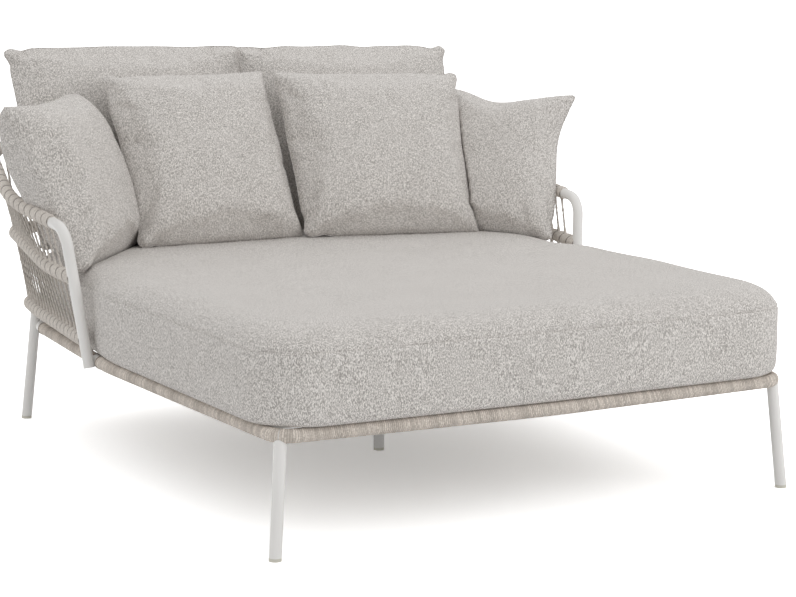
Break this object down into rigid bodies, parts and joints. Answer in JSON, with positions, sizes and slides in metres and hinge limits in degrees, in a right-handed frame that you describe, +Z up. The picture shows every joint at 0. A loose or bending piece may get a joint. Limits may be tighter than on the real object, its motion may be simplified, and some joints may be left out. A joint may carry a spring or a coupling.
{
  "type": "double chaise lounger",
  "caption": "Deep double lounger with a bent tube frame, rope-wrapped backrest and arms, a thick boxed seat cushion, back cushions and loose pillows.",
  "frame": {"origin": "on the floor under the centre leg", "axes": "+X to the right of a person looking at the front, +Y towards the backrest, +Z up"},
  "size_m": [1.8276, 1.9129, 1.07],
  "materials": {
    "frame_paint": "satin paint, pale warm grey",
    "seat_cord": "fine wound cord, beige grey",
    "back_rope": "wound rope, grey beige",
    "cushion_fabric": "woven, light grey beige",
    "pillow_fabric": "woven, light grey beige",
    "glide_plastic": "pale plastic"
  },
  "bodies": {
    "frame": {"front_rail": "frame_paint", "rear_rail": "frame_paint", "left_rail": "frame_paint", "right_rail": "frame_paint", "front_rail_wrap": "seat_cord", "left_rail_wrap_front": "seat_cord", "right_rail_wrap_front": "seat_cord", "left_rail_wrap_rear": "seat_cord", "right_rail_wrap_rear": "seat_cord", "wrap_end_rings": "seat_cord", "left_arm_upright": "frame_paint", "right_arm_upright": "frame_paint", "top_rail_left": "frame_paint", "top_rail_left_wrap": "back_rope", "top_rail_back": "frame_paint", "top_rail_back_wrap": "back_rope", "top_rail_right": "frame_paint", "top_rail_right_wrap": "back_rope", "mid_rail_left": "frame_paint", "mid_rail_left_wrap": "back_rope", "mid_rail_back": "frame_paint", "mid_rail_back_wrap": "back_rope", "mid_rail_right": "frame_paint", "mid_rail_right_wrap": "back_rope", "low_rail_left": "frame_paint", "low_rail_left_wrap": "back_rope", "low_rail_back": "frame_paint", "low_rail_back_wrap": "back_rope", "low_rail_right": "frame_paint", "low_rail_right_wrap": "back_rope", "back_strands": "back_rope", "left_corner_strands": "back_rope", "right_corner_strands": "back_rope", "left_arm_strands": "back_rope", "right_arm_strands": "back_rope", "front_leg_left": "frame_paint", "front_leg_right": "frame_paint", "rear_leg_left": "frame_paint", "rear_leg_right": "frame_paint", "front_glide_left": "glide_plastic", "front_glide_right": "glide_plastic", "rear_glide_left": "glide_plastic", "rear_glide_right": "glide_plastic", "centre_leg": "frame_paint", "centre_glide": "glide_plastic", "centre_beam": "frame_paint", "seat_slats": "frame_paint"},
    "seat_cushion": {"seat_cushion": "cushion_fabric"},
    "back_cushion_left": {"back_cushion_left": "cushion_fabric"},
    "back_cushion_right": {"back_cushion_right": "cushion_fabric"},
    "front_pillow_left": {"front_pillow_left": "pillow_fabric"},
    "front_pillow_right": {"front_pillow_right": "pillow_fabric"},
    "side_pillow_left": {"side_pillow_left": "pillow_fabric"},
    "side_pillow_right": {"side_pillow_right": "pillow_fabric"}
  },
  "joints": [
    {"name": "seat_cushion_lift", "type": "slide", "parent": "frame", "child": "seat_cushion", "axis": [0, 0, 1], "range_m": [0, 0.4]},
    {"name": "back_cushion_left_lift", "type": "slide", "parent": "seat_cushion", "child": "back_cushion_left", "axis": [0, 0.2807, 0.9598], "range_m": [0, 0.55]},
    {"name": "back_cushion_right_lift", "type": "slide", "parent": "seat_cushion", "child": "back_cushion_right", "axis": [0, 0.2807, 0.9598], "range_m": [0, 0.55]},
    {"name": "side_pillow_left_lift", "type": "slide", "parent": "back_cushion_left", "child": "side_pillow_left", "axis": [0, -0.5, 0.866], "range_m": [0, 0.35]},
    {"name": "side_pillow_right_lift", "type": "slide", "parent": "back_cushion_right", "child": "side_pillow_right", "axis": [0, -0.5, 0.866], "range_m": [0, 0.35]},
    {"name": "front_pillow_left_lift", "type": "slide", "parent": "side_pillow_left", "child": "front_pillow_left", "axis": [0, -0.5, 0.866], "range_m": [0, 0.35]},
    {"name": "front_pillow_right_lift", "type": "slide", "parent": "side_pillow_right", "child": "front_pillow_right", "axis": [0, -0.5, 0.866], "range_m": [0, 0.35]}
  ]
}
